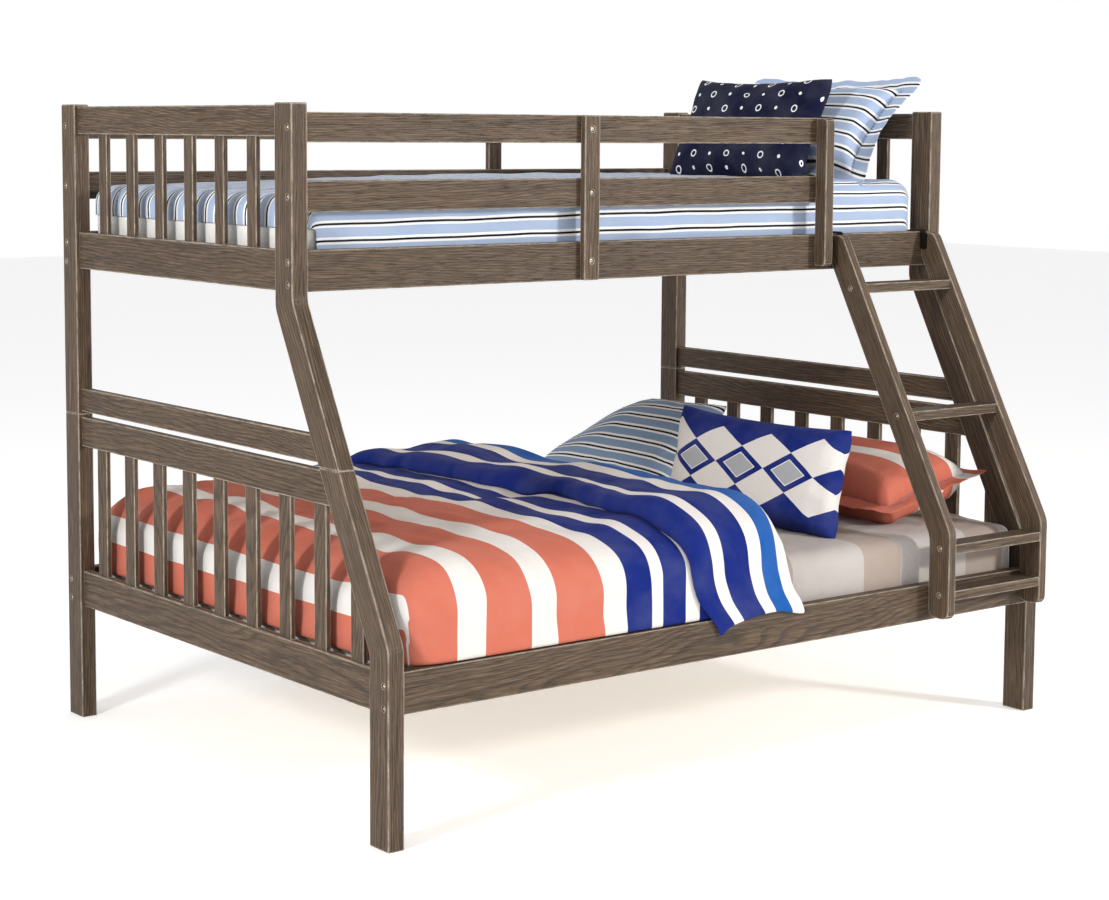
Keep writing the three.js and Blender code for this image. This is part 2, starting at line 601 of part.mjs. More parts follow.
// A cushion lying flat: a box whose two faces swell and whose sides draw in between the corners.
function cushion(width, height, thick) {
  const seam = 6;
  const drawIn = 0.05;
  const geometry = new THREE.BoxGeometry(2, 2, 2, 12, 10, 1);
  const position = geometry.attributes.position;
  for (let i = 0; i < position.count; i += 1) {
    const u = position.getX(i);
    const v = position.getY(i);
    const swell = Math.sqrt((1 - u ** 4) * (1 - v ** 4));
    position.setXYZ(i,
      (width / 2) * u * (1 - drawIn * (1 - v * v)),
      (height / 2) * v * (1 - drawIn * (1 - u * u)),
      position.getZ(i) * (seam / 2 + (thick / 2 - seam / 2) * swell));
  }
  return toGeometry(toSolid(geometry));
}

// A pillow leaning towards the head and resting on a bed; `foot` is the middle of its lower edge.
function pillow(name, { width, height, thick, lean, foot: [x, y], bedTop, color }) {
  const angle = THREE.MathUtils.degToRad(lean);
  const up = new THREE.Vector3(Math.sin(angle), 0, Math.cos(angle));
  const across = new THREE.Vector3(0, -1, 0);
  const basis = new THREE.Matrix4().makeBasis(across, up, across.clone().cross(up));
  const mesh = add(name, cushion(width, height, thick), fabric(color));
  mesh.quaternion.setFromRotationMatrix(basis);
  mesh.position.set(x, y, 0).addScaledVector(up, height / 2);
  const lowest = new THREE.Box3().setFromObject(mesh, true).min.z;
  mesh.position.z += bedTop + 1 - lowest;
}

const onLower = { bedTop: LOWER_BED_TOP };
const onUpper = { bedTop: UPPER_BED_TOP };
const coralSham = { width: 640, height: 390, thick: 140, lean: 78, color: 0xd9705f, ...onLower };

pillow('upper_sham',
  { width: 660, height: 385, thick: 120, lean: 42, foot: [735, 36], color: 0xb4c2dd, ...onUpper });
pillow('upper_cushion',
  { width: 530, height: 320, thick: 100, lean: 24, foot: [642, 92], color: 0x15193f, ...onUpper });
pillow('lower_sham_front', { ...coralSham, foot: [572, -275] });
pillow('lower_sham_back', { ...coralSham, foot: [572, 372] });
pillow('lower_striped_pillow',
  { width: 600, height: 360, thick: 76, lean: 42, foot: [420, 400], color: 0x7f93b5, ...onLower });
pillow('lower_lattice_pillow',
  { width: 650, height: 300, thick: 84, lean: 12, foot: [408, -245], color: 0x1d3f8f, ...onLower });

export default bed;
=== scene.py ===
"""Looks for the bunk bed with a ladder: finishes on the CAD timber, bolt heads, mattresses, sheets,
a duvet folded back at the head, and six pillows. Metres, the frame of the CAD model."""

import json
import math

import bmesh
import bpy
import numpy as np
from mathutils import Matrix, Vector

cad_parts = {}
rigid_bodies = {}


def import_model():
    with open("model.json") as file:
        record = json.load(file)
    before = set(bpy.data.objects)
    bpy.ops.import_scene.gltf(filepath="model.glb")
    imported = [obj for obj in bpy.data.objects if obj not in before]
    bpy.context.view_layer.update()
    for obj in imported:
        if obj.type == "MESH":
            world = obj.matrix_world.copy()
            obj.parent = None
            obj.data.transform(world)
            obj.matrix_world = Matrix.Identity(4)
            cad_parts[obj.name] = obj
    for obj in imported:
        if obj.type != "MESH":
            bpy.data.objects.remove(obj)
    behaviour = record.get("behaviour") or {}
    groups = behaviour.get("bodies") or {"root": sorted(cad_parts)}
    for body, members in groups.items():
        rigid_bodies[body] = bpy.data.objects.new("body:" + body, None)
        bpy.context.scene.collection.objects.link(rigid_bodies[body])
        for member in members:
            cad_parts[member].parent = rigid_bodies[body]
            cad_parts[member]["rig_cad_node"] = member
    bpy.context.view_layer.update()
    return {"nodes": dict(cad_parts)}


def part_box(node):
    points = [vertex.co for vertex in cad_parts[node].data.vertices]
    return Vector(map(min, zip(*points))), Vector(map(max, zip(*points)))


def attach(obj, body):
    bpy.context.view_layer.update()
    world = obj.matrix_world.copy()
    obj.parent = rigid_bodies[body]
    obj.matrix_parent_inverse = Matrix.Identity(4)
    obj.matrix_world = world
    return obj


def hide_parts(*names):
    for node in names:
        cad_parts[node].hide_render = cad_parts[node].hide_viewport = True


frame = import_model()

# ---- Places taken from the CAD model ---------------------------------------------------------------

FRONT, BACK = -0.703, 0.752  # outer faces of the lower posts
UPPER_FRONT = -0.336
HALF = 1.010
SLANT = (0.425, 1.120)  # heights between which the front posts slant
BEND_Z = 0.512  # where the ladder bends
LADDER_SLOPE = 0.545
BED_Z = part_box("lower_mattress")[1].z
UPPER_SINK, UPPER_SAG = 0.018, 0.036  # how far the upper bed gives at its head and at its foot
UPPER_BED_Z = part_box("upper_mattress")[1].z - UPPER_SINK
BOLT_DEPTH, BOLT_INSET = 0.005, 0.018  # below the timber's face, and in from a post's edge
LOWER_BOLTS_Z = (0.302, 0.350)
UPPER_BOLTS_Z = (1.156, 1.204, 1.345, 1.4935)
BRACE_BOLTS_Z = (1.185, 1.345, 1.4935)

# ---- Numbers and noise -----------------------------------------------------------------------------


def waves(p, seed, scale, octaves=3):
    """Smooth noise in about -1..1 at the rows of p: random plane waves, finer and weaker by octave."""
    rng = np.random.default_rng(seed)
    total, weight = np.zeros(len(p)), 0.0
    for octave in range(octaves):
        amount = 0.5**octave
        for _ in range(7):
            direction = rng.normal(size=3)
            direction *= 2**octave / scale * rng.uniform(0.6, 1.3) / np.linalg.norm(direction)
            total += amount * np.sin(2 * math.pi * (p @ direction) + rng.uniform(0, 2 * math.pi))
        weight += amount
    return total / (weight * 2.2)


def smooth(x, low, high):
    t = np.clip((x - low) / (high - low), 0, 1)
    return t * t * (3 - 2 * t)


# ---- Meshes ----------------------------------------------------------------------------------------


def new_object(name, points, faces, uvs=None):
    """A smooth-shaded mesh object; uvs has one row for each point, in metres of flat cloth."""
    mesh = bpy.data.meshes.new(name)
    mesh.from_pydata([tuple(map(float, p)) for p in points], [], faces)
    mesh.update()
    if uvs is not None:
        layer = mesh.uv_layers.new(name="flat")
        index = np.empty(len(mesh.loops), np.int64)
        mesh.loops.foreach_get("vertex_index", index)
        layer.data.foreach_set("uv", np.asarray(uvs, float)[index].astype(np.float32).ravel())
    mesh.polygons.foreach_set("use_smooth", [True] * len(mesh.polygons))
    obj = bpy.data.objects.new(name, mesh)
    bpy.context.scene.collection.objects.link(obj)
    return obj


def quads(grid):
    """Faces between neighbouring rows and columns of a grid of point numbers."""
    corners = (grid[:-1, :-1], grid[:-1, 1:], grid[1:, 1:], grid[1:, :-1])
    return [tuple(face) for face in np.stack(corners, axis=-1).reshape(-1, 4).tolist()]


def rim_of(grid):
    """The point numbers round the outside of a grid, in order."""
    return np.concatenate([grid[0, :-1], grid[:-1, -1], grid[-1, :0:-1], grid[:0:-1, 0]]).tolist()


def outward(obj):
    """Turns the faces of a closed mesh outwards."""
    bm = bmesh.new()
    bm.from_mesh(obj.data)
    bmesh.ops.recalc_face_normals(bm, faces=bm.faces)
    bm.to_mesh(obj.data)
    bm.free()
    return obj


def apply_modifiers(obj):
    graph = bpy.context.evaluated_depsgraph_get()
    mesh = bpy.data.meshes.new_from_object(obj.evaluated_get(graph))
    obj.modifiers.clear()
    obj.data = mesh
    return obj


def subdivided(obj, levels=1):
    modifier = obj.modifiers.new("smooth", "SUBSURF")
    modifier.levels = modifier.render_levels = levels
    return apply_modifiers(obj)


def get_points(obj):
    co = np.empty(len(obj.data.vertices) * 3)
    obj.data.vertices.foreach_get("co", co)
    return co.reshape(-1, 3)


def set_points(obj, points):
    obj.data.vertices.foreach_set("co", np.asarray(points).ravel())
    obj.data.update()


# ---- Shader helpers --------------------------------------------------------------------------------


class Shader:
    """A material being built: add() makes a node, and the short names below make common ones."""

    def __init__(self, name, roughness=0.6, **fixed):
        self.material = bpy.data.materials.new(name)
        self.material.use_nodes = True
        self.tree = self.material.node_tree
        self.surface = self.tree.nodes["Principled BSDF"]
        self.surface.inputs["Roughness"].default_value = roughness
        for key, value in fixed.items():
            self.surface.inputs[key.replace("_", " ")].default_value = value

    def add(self, kind, inputs=None, **settings):
        node = self.tree.nodes.new(kind)
        for key, value in settings.items():
            setattr(node, key, value)
        for key, value in (inputs or {}).items():
            self.put(node.inputs[key], value)
        return node

    def put(self, socket, value):
        if isinstance(value, bpy.types.NodeSocket):
            self.tree.links.new(value, socket)
        else:
            socket.default_value = value

    def math(self, operation, a, b=0.0, c=0.0, clamp=False):
        node = self.add("ShaderNodeMath", operation=operation, use_clamp=clamp)
        for socket, value in zip(node.inputs, (a, b, c)):
            self.put(socket, value)
        return node.outputs[0]

    def mix(self, share, a, b, blend="MIX"):
        node = self.add("ShaderNodeMix", data_type="RGBA", blend_type=blend)
        self.put(node.inputs[0], share)
        self.put(node.inputs[6], a)
        self.put(node.inputs[7], b)
        return node.outputs[2]

    def ramp(self, share, stops, interpolation="LINEAR"):
        node = self.add("ShaderNodeValToRGB", {"Fac": share})
        node.color_ramp.interpolation = interpolation
        elements = node.color_ramp.elements
        while len(elements) < len(stops):
            elements.new(1.0)
        for element, (position, value) in zip(elements, stops):
            element.position = position
            element.color = value if isinstance(value, tuple) else (value, value, value, 1)
        return node.outputs["Color"]

    def noise(self, vector, scale, detail=3.0, roughness=0.55, distortion=0.0):
        inputs = {"Vector": vector, "Scale": scale, "Detail": detail, "Roughness": roughness,
                  "Distortion": distortion}
        return self.add("ShaderNodeTexNoise", inputs).outputs["Fac"]

    def scaled(self, vector, scale, location=(0, 0, 0), rotation=(0, 0, 0)):
        inputs = {"Vector": vector, "Scale": scale, "Location": location, "Rotation": rotation}
        return self.add("ShaderNodeMapping", inputs).outputs[0]

    def parts(self, vector):
        return self.add("ShaderNodeSeparateXYZ", {"Vector": vector}).outputs

    def whole(self, x, y, z=0.0):
        return self.add("ShaderNodeCombineXYZ", {"X": x, "Y": y, "Z": z}).outputs[0]

    def bump(self, height, distance, strength=1.0, normal=None):
        inputs = {"Height": height, "Distance": distance, "Strength": strength}
        if normal is not None:
            inputs["Normal"] = normal
        return self.add("ShaderNodeBump", inputs).outputs[0]

    def place(self):
        return self.add("ShaderNodeTexCoord").outputs["Object"]

    def flat(self):
        return self.add("ShaderNodeUVMap", uv_map="flat").outputs["UV"]

    def done(self, color=None, roughness=None, normal=None):
        for key, value in (("Base Color", color), ("Roughness", roughness), ("Normal", normal)):
            if value is not None:
                self.put(self.surface.inputs[key], value)
        return self.material


def rgb(hex_code):
    """Linear colour of an sRGB hex code."""
    parts = [(hex_code >> shift & 255) / 255 for shift in (16, 8, 0)]
    return tuple(p / 12.92 if p < 0.04045 else ((p + 0.055) / 1.055) ** 2.4 for p in parts) + (1.0,)


# ---- Timber ----------------------------------------------------------------------------------------


def bent_depth(s, y, z, bends):
    """y less the run of a board that slants between heights: bends is [(z0, z1, slope), ...]."""
    for z0, z1, slope in bends:
        rise = s.math("MINIMUM", s.math("MAXIMUM", s.math("SUBTRACT", z, z0), 0.0), z1 - z0)
        y = s.math("SUBTRACT", y, s.math("MULTIPLY", rise, slope))
    return y


def timber(name, grain, seed, bends=(), tone=1.0):
    """Wire-brushed grey-brown oak whose grain runs along `grain` ('x', 'y' or 'z')."""
    rng = np.random.default_rng(seed)
    s = Shader(name, roughness=0.55, Specular_IOR_Level=0.28)
    x, y, z = s.parts(s.place())
    y = bent_depth(s, y, z, bends)
    along, across, through = {"x": (x, y, z), "y": (y, x, z), "z": (z, y, x)}[grain]
    shift = [float(v) for v in rng.uniform(-4, 4, 3)]
    board = s.scaled(s.whole(along, across, through), (1, 1, 1), location=shift)

    drift = s.noise(s.scaled(board, (1.6, 7, 7)), 1.0, detail=2.0)
    u, v, w = s.parts(board)
    pith = [float(rng.uniform(-0.05, 0.05)), float(rng.uniform(0.04, 0.09))]
    lean = [float(a) for a in rng.uniform(-0.05, 0.05, 2)]
    rings_v = s.math("ADD", s.math("SUBTRACT", v, shift[1] + pith[0]),
                     s.math("MULTIPLY", s.math("SUBTRACT", u, shift[0]), lean[0]))
    rings_w = s.math("ADD", s.math("SUBTRACT", w, shift[2] + pith[1]),
                     s.math("MULTIPLY", s.math("SUBTRACT", u, shift[0]), lean[1]))
    radius = s.math("SQRT", s.math("ADD", s.math("MULTIPLY", rings_v, rings_v),
                                   s.math("MULTIPLY", rings_w, rings_w)))
    radius = s.math("ADD", radius, s.math("MULTIPLY", drift, 0.055))
    ring = s.math("FRACT", s.math("MULTIPLY", radius, 185.0))
    late = s.ramp(ring, [(0.0, 0.0), (0.45, 0.12), (0.80, 1.0), (0.93, 0.9), (1.0, 0.0)])

    fibre = s.ramp(s.noise(s.scaled(board, (5, 480, 480)), 1.0, detail=2.0), [(0.33, 0.0), (0.67, 1.0)])
    pores = s.ramp(s.noise(s.scaled(board, (22, 760, 760)), 1.0, detail=1.0),
                   [(0.0, 0.0), (0.57, 0.0), (0.68, 1.0), (1.0, 1.0)])
    brushed = s.ramp(s.noise(s.scaled(board, (14, 330, 330), location=(3, 5, 7)), 1.0, detail=2.0),
                     [(0.0, 0.0), (0.54, 0.0), (0.72, 1.0), (1.0, 1.0)])
    patch = s.noise(s.scaled(board, (2.2, 14, 14)), 1.0, detail=3.0)

    def shade(color):
        return tuple(c * tone for c in color[:3]) + (1.0,)

    color = s.mix(fibre, shade(rgb(0x30241A)), shade(rgb(0x66523F)))
    color = s.mix(s.math("MULTIPLY", late, 0.7), color, shade(rgb(0x20160E)))
    color = s.mix(s.math("MULTIPLY", s.ramp(patch, [(0.3, 0.0), (0.75, 1.0)]), 0.3),
                  color, shade(rgb(0x60503F)))
    color = s.mix(s.math("MULTIPLY", pores, 0.55), color, shade(rgb(0x1C120B)))
    color = s.mix(s.math("MULTIPLY", brushed, 0.3), color, shade(rgb(0x8A7762)))

    # Pale colour painted along every arris, broken up by noise: partly rubbed wear, partly a painted
    # highlight where the edges catch the light.
    soft_edge = s.add("ShaderNodeBevel", {"Radius": 0.004}, samples=4).outputs[0]
    true_normal = s.add("ShaderNodeNewGeometry").outputs["Normal"]
    facing = s.add("ShaderNodeVectorMath", {0: soft_edge, 1: true_normal}, operation="DOT_PRODUCT")
    edge = s.ramp(facing.outputs["Value"], [(0.0, 1.0), (0.95, 1.0), (0.998, 0.0), (1.0, 0.0)])
    wear_and_highlight = s.ramp(s.noise(s.scaled(board, (30, 60, 60)), 1.0), [(0.35, 0.35), (0.6, 1.0)])
    color = s.mix(s.math("MULTIPLY", s.math("MULTIPLY", edge, wear_and_highlight), 0.75),
                  color, rgb(0xC9BDAC))

    height = s.math("SUBTRACT", s.math("MULTIPLY", fibre, 0.4), s.math("MULTIPLY", pores, 0.8))
    height = s.math("SUBTRACT", height, s.math("MULTIPLY", late, 0.35))
    rough = s.math("ADD", s.math("MULTIPLY", pores, 0.2), 0.46)
    rough = s.math("ADD", s.math("MULTIPLY", fibre, 0.14), rough)
    return s.done(color, rough, s.bump(height, 0.0006, 0.8))


POST_BENDS = [(SLANT[0], SLANT[1], (UPPER_FRONT - FRONT) / (SLANT[1] - SLANT[0]))]
STILE_BENDS = [(BEND_Z, 1.3, LADDER_SLOPE)]


def grain_of(node):
    """(grain axis, bends) of a timber node, from its longest side or its name."""
    if "post_front" in node:
        return "z", POST_BENDS
    if "stile" in node:
        return "z", STILE_BENDS
    if "slats" in node:
        return "z", ()
    low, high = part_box(node)
    size = high - low
    return "xyz"[max(range(3), key=lambda i: size[i])], ()


def plain_pine(name, seed):
    """Pale unfinished slats under the mattresses."""
    s = Shader(name, roughness=0.7)
    x, y, z = s.parts(s.place())
    board = s.scaled(s.whole(y, x, z), (1, 1, 1), location=(seed, seed, seed))
    fibre = s.noise(s.scaled(board, (8, 300, 300)), 1.0, detail=2.0)
    rings = s.noise(s.scaled(board, (1.5, 60, 60)), 1.0, detail=2.0, distortion=0.6)
    color = s.mix(fibre, rgb(0xC9A878), rgb(0xE2C79B))
    color = s.mix(s.math("MULTIPLY", s.ramp(rings, [(0.5, 0.0), (0.62, 1.0)]), 0.4), color, rgb(0xA98252))
    return s.done(color, s.math("ADD", s.math("MULTIPLY", fibre, 0.2), 0.55), s.bump(fibre, 0.0004, 0.6))


def steel(name, dark=False):
    """Brushed steel of the pins, hooks and bolt heads."""
    s = Shader(name, roughness=0.34, Metallic=1.0)
    scratches = s.noise(s.scaled(s.place(), (900, 900, 120)), 1.0, detail=3.0)
    low, high = (0x2B2623, 0x5A514A) if dark else (0x7A6C5C, 0xD2C4AE)
    color = s.mix(scratches, rgb(low), rgb(high))
    rough = s.math("ADD", s.math("MULTIPLY", scratches, 0.25), 0.22)
    return s.done(color, rough, s.bump(scratches, 0.0002, 0.4))


def give(obj, material):
    if not obj.material_slots:
        obj.data.materials.append(material)
    for slot in obj.material_slots:
        slot.material = material


def finish_timber():
    hardware = steel("hook_steel", dark=True)
    for seed, (node, obj) in enumerate(sorted(frame["nodes"].items())):
        slot = obj.get("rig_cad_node", "")
        if "pin" in slot or "hook" in slot:
            give(obj, hardware)
        elif "deck" in slot:
            give(obj, plain_pine(f"pine_{node}", seed))
        elif not any(word in slot for word in ("mattress", "duvet", "sham", "pillow", "cushion")):
            grain, bends = grain_of(node)
            tone = float(np.random.default_rng(seed + 90).uniform(0.93, 1.08))
            give(obj, timber(f"oak_{node}", grain, seed, bends, tone))


# ---- Bolt heads ------------------------------------------------------------------------------------


def bolt_head():
    """A domed head with a hexagonal socket, facing +Z, its seat at z = 0; (points, faces)."""
    sides = 24
    socket = 0.0024
    dome = [(0.0058, 0.0), (0.0058, 0.0016), (0.0052, 0.0026), (0.0040, 0.0032), (socket * 1.15, 0.0034)]
    points, faces = [], []
    for radius, height in dome:
        points += [(radius * math.cos(2 * math.pi * k / sides),
                    radius * math.sin(2 * math.pi * k / sides), height) for k in range(sides)]
    for height in (0.0033, 0.0014):
        for k in range(sides):
            angle = 2 * math.pi * k / sides
            wedge = math.pi / 3
            off = (angle % wedge) - wedge / 2
            radius = socket * math.cos(wedge / 2) / math.cos(off)
            points.append((radius * math.cos(angle), radius * math.sin(angle), height))
    rings = len(dome) + 2
    for r in range(rings - 1):
        for k in range(sides):
            a, b = r * sides + k, r * sides + (k + 1) % sides
            faces.append((a, b, b + sides, a + sides))
    faces.append(tuple(reversed(range(sides))))
    faces.append(tuple(range((rings - 1) * sides, rings * sides)))
    return points, faces


def add_bolts(name, body, places, material):
    """Bolt heads as one piece; places are (seat point, outward direction)."""
    head, head_faces = bolt_head()
    points, faces = [], []
    for turn, (seat, direction) in enumerate(places):
        spin = Matrix.Rotation(0.7 * turn, 4, "Z")
        facing = Vector(direction).to_track_quat("Z", "X").to_matrix().to_4x4()
        matrix = Matrix.Translation(seat) @ facing @ spin
        start = len(points)
        points += [matrix @ Vector(p) for p in head]
        faces += [tuple(start + i for i in face) for face in head_faces]
    obj = outward(new_object(name, points, faces))
    give(obj, material)
    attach(obj, body)
    return obj


def post_bolts(side, front, heights):
    """Places of the bolts in both posts of one end; side is -1 at the foot and 1 at the head."""
    seat = side * (HALF - BOLT_DEPTH)
    rows = (front + BOLT_INSET, BACK - BOLT_INSET)
    return [(Vector((seat, y, z)), (side, 0, 0)) for y in rows for z in heights]


def build_bolts():
    lower, upper, ladder = [], [], []
    for side in (-1, 1):
        lower += post_bolts(side, FRONT, LOWER_BOLTS_Z)
        upper += post_bolts(side, UPPER_FRONT, UPPER_BOLTS_Z)
    braces = (("guard_brace_front", -1), ("guard_brace_back_foot", 1), ("guard_brace_back_head", 1))
    for node, outer in braces:
        low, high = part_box(node)
        face = low.y if outer < 0 else high.y
        seat = face - outer * BOLT_DEPTH
        upper += [(Vector(((low.x + high.x) / 2, seat, z)), (0, outer, 0)) for z in BRACE_BOLTS_Z]
    for node, outer in (("ladder_stile_foot", -1), ("ladder_stile_head", 1)):
        low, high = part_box(node)
        seat = (low.x if outer < 0 else high.x) - outer * BOLT_DEPTH
        for rung in range(1, 5):
            r_low, r_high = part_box(f"ladder_rung_{rung}")
            y, z = (r_low.y + r_high.y) / 2, (r_low.z + r_high.z) / 2
            ladder.append((Vector((seat, y, z)), (outer, 0, 0)))
    bright = steel("bolt_steel")
    add_bolts("lower_bolts", "lower_bunk", lower, bright)
    add_bolts("upper_bolts", "upper_bunk", upper, bright)
    add_bolts("ladder_bolts", "ladder", ladder, bright)


# ---- Cloth finishes --------------------------------------------------------------------------------


def weave_normal(s, u, v, pitch, crease):
    """Bump of a plain weave with faint creases on top."""
    def thread(a):
        return s.math("SINE", s.math("MULTIPLY", a, 2 * math.pi / pitch))
    threads = s.math("MULTIPLY", thread(u), thread(v))
    soft = s.noise(s.whole(u, v), 26.0, detail=4.0, roughness=0.6)
    return s.bump(threads, 0.0002, 0.5, s.bump(soft, crease, 0.7))


def cloth(name, pattern, pitch=0.0011, crease=0.003, sheen=0.02, fade=0.10):
    """Cotton; pattern(s, u, v) returns the printed colour at the flat cloth's place (u, v)."""
    s = Shader(name, roughness=0.88, Sheen_Weight=sheen, Sheen_Roughness=0.5, Specular_IOR_Level=0.12)
    u, v, _ = s.parts(s.flat())
    wobble = s.math("MULTIPLY", s.math("SUBTRACT", s.noise(s.whole(u, v), 5.0, detail=1.0), 0.5), 0.008)
    color = pattern(s, s.math("ADD", u, wobble), s.math("ADD", v, wobble))
    slub = s.noise(s.scaled(s.whole(u, v), (260, 1400, 1)), 1.0, detail=2.0)
    warp = s.noise(s.scaled(s.whole(u, v), (1400, 260, 1)), 1.0, detail=2.0)
    yarn = s.math("MULTIPLY", s.math("ADD", slub, warp), 0.5)
    color = s.mix(s.math("MULTIPLY", s.ramp(yarn, [(0.35, 1.0), (0.62, 0.0)]), fade), color, (0, 0, 0, 1))
    worn = s.noise(s.whole(u, v), 9.0, detail=3.0)
    color = s.mix(s.math("MULTIPLY", s.ramp(worn, [(0.4, 0.0), (0.75, 1.0)]), 0.03), color, (1, 1, 1, 1))
    rough = s.math("ADD", s.math("MULTIPLY", yarn, 0.18), 0.74)
    return s.done(color, rough, weave_normal(s, u, v, pitch, crease))


def banded(bands, along="u", start=0.0, repeat=False):
    """Stripes: bands is [(colour, width)] along u or v from `start`; they may repeat."""
    total = sum(width for _, width in bands)
    stops, position = [], 0.0
    for color, width in bands:
        stops.append((min(position / total, 1.0), color))
        position += width

    def pattern(s, u, v):
        share = s.math("DIVIDE", s.math("SUBTRACT", u if along == "u" else v, start), total)
        if repeat:
            share = s.math("FRACT", share)
        return s.ramp(share, stops, "CONSTANT")

    return pattern


def one_color(color):
    """Cotton of one colour, a little darker in patches."""
    darker = tuple(0.93 * c for c in color[:3]) + (1,)
    return lambda s, u, v: s.mix(s.noise(s.whole(u, v), 3.0), color, darker)


CREAM, CORAL = rgb(0xDDD8D3), rgb(0xC46B56)
ROYAL, AZURE = rgb(0x0D2270), rgb(0x16549E)
WHITE, BLACK = rgb(0xECECEC), rgb(0x0D0E14)
LIGHT_BLUE, GREY_BLUE = rgb(0xA3B3CE), rgb(0x8098B6)
NAVY, STONE = rgb(0x0A0D2C), rgb(0xA6A8AC)
TAN, PALE = rgb(0xA4958B), rgb(0xB7AFAB)


def pin_striped(base, pitch=0.045):
    """Base colour with a white, black and white line at each pitch, along v."""
    return banded([(base, pitch - 0.019), (WHITE, 0.006), (BLACK, 0.006), (WHITE, 0.007)],
                  along="v", repeat=True)


def lattice(s, u, v):
    """Royal blue with a chain of three stone diamonds, outlined, between two rows of cream diamonds."""
    half_u, half_v = 0.092, 0.050
    middle_u, middle_v = -0.008, 0.012
    p = s.math("DIVIDE", s.math("SUBTRACT", u, middle_u), half_u)
    q = s.math("DIVIDE", s.math("SUBTRACT", v, middle_v), half_v)

    def tile(a):
        index = s.math("FLOOR", s.math("MULTIPLY", s.math("ADD", a, 1.0), 0.5))
        return index, s.math("ABSOLUTE", s.math("SUBTRACT", a, s.math("MULTIPLY", index, 2.0)))

    (i, a), (j, b) = tile(s.math("ADD", p, q)), tile(s.math("SUBTRACT", p, q))
    row = s.math("ABSOLUTE", s.math("SUBTRACT", i, j))
    column = s.math("ABSOLUTE", s.math("ADD", i, j))
    near_edge = s.math("MAXIMUM", a, b)
    within = s.math("LESS_THAN", column, 3.5)
    stone = s.math("MULTIPLY", within, s.math("LESS_THAN", row, 0.5))
    printed = s.math("MULTIPLY", within, s.math("LESS_THAN", row, 1.5))
    color = s.mix(stone, s.mix(printed, ROYAL, CREAM), STONE)
    color = s.mix(s.math("MULTIPLY", stone, s.math("GREATER_THAN", near_edge, 0.62)), color, WHITE)
    return s.mix(s.math("MULTIPLY", stone, s.math("GREATER_THAN", near_edge, 0.67)), color, ROYAL)


def ringed(s, u, v):
    """Navy with white rings and small white dots in turn along rows and columns."""
    pitch_u, pitch_v = 0.068, 0.046

    def cell(a, pitch):
        scaled = s.math("DIVIDE", a, pitch)
        index = s.math("ROUND", scaled)
        return index, s.math("MULTIPLY", s.math("SUBTRACT", scaled, index), pitch)

    (i, du), (j, dv) = cell(u, pitch_u), cell(v, pitch_v)
    parity = s.math("ABSOLUTE", s.math("MODULO", s.math("ADD", i, j), 2.0))
    odd = s.math("GREATER_THAN", parity, 0.5)
    distance = s.math("SQRT", s.math("ADD", s.math("MULTIPLY", du, du), s.math("MULTIPLY", dv, dv)))
    ring = s.math("LESS_THAN", s.math("ABSOLUTE", s.math("SUBTRACT", distance, 0.0092)), 0.0018)
    dot = s.math("LESS_THAN", distance, 0.0052)
    mark = s.math("ADD", s.math("MULTIPLY", dot, odd),
                  s.math("MULTIPLY", ring, s.math("SUBTRACT", 1.0, odd)))
    return s.mix(mark, NAVY, WHITE)


def stitched(pattern, half_u, half_v):
    """The pattern with a dashed line of stitches round the seam at (half_u, half_v)."""
    def print_(s, u, v):
        across = s.math("SUBTRACT", s.math("ABSOLUTE", u), half_u)
        up = s.math("SUBTRACT", s.math("ABSOLUTE", v), half_v)
        seam = s.math("LESS_THAN", s.math("ABSOLUTE", s.math("MAXIMUM", across, up)), 0.0012)
        dash = s.math("GREATER_THAN", s.math("FRACT", s.math("MULTIPLY", s.math("ADD", u, v), 110.0)), 0.4)
        line = s.math("MULTIPLY", s.math("MULTIPLY", seam, dash), 0.6)
        return s.mix(line, pattern(s, u, v), rgb(0x55617A))
    return print_


# ---- Mattresses and sheets -------------------------------------------------------------------------


def box_skin(low, high, radius, step, crown):
    """Points, faces and flat places of a rounded box whose top swells by `crown`."""
    size = high - low
    counts = [max(4, round(float(size[i]) / step)) for i in range(3)]
    bm = bmesh.new()
    for axis in range(3):
        a, b = [i for i in range(3) if i != axis]
        for end in (0, 1):
            rows = []
            for i in range(counts[a] + 1):
                row = []
                for j in range(counts[b] + 1):
                    p = np.zeros(3)
                    p[axis] = (low, high)[end][axis]
                    p[a] = low[a] + size[a] * i / counts[a]
                    p[b] = low[b] + size[b] * j / counts[b]
                    row.append(bm.verts.new(p))
                rows.append(row)
            for i in range(counts[a]):
                for j in range(counts[b]):
                    bm.faces.new((rows[i][j], rows[i + 1][j], rows[i + 1][j + 1], rows[i][j + 1]))
    bmesh.ops.remove_doubles(bm, verts=bm.verts, dist=1e-5)
    bm.verts.ensure_lookup_table()
    points = np.array([v.co for v in bm.verts])
    faces = [tuple(v.index for v in f.verts) for f in bm.faces]
    bm.free()
    core = np.clip(points, low + radius, high - radius)
    out = points - core
    out /= np.maximum(np.linalg.norm(out, axis=1), 1e-9)[:, None]
    points = core + radius * out
    middle, half = (low + high) / 2, size / 2
    share = (points - middle) / half
    bulge = np.clip(1 - share[:, 0] ** 4, 0, 1) * np.clip(1 - share[:, 1] ** 4, 0, 1)
    points[:, 2] += crown * bulge * np.clip(share[:, 2], 0, 1)
    drop = high[2] - points[:, 2]
    side = np.abs(points[:, 1] - core[:, 1]) >= np.abs(points[:, 0] - core[:, 0])
    flat_y = core[:, 1] + np.sign(points[:, 1] - core[:, 1]) * (np.abs(points[:, 1] - core[:, 1]) + drop)
    flat_x = core[:, 0] + np.sign(points[:, 0] - core[:, 0]) * (np.abs(points[:, 0] - core[:, 0]) + drop)
    uvs = np.stack([np.where(side, points[:, 0], flat_x), np.where(side, flat_y, points[:, 1])], axis=1)
    return points, faces, uvs


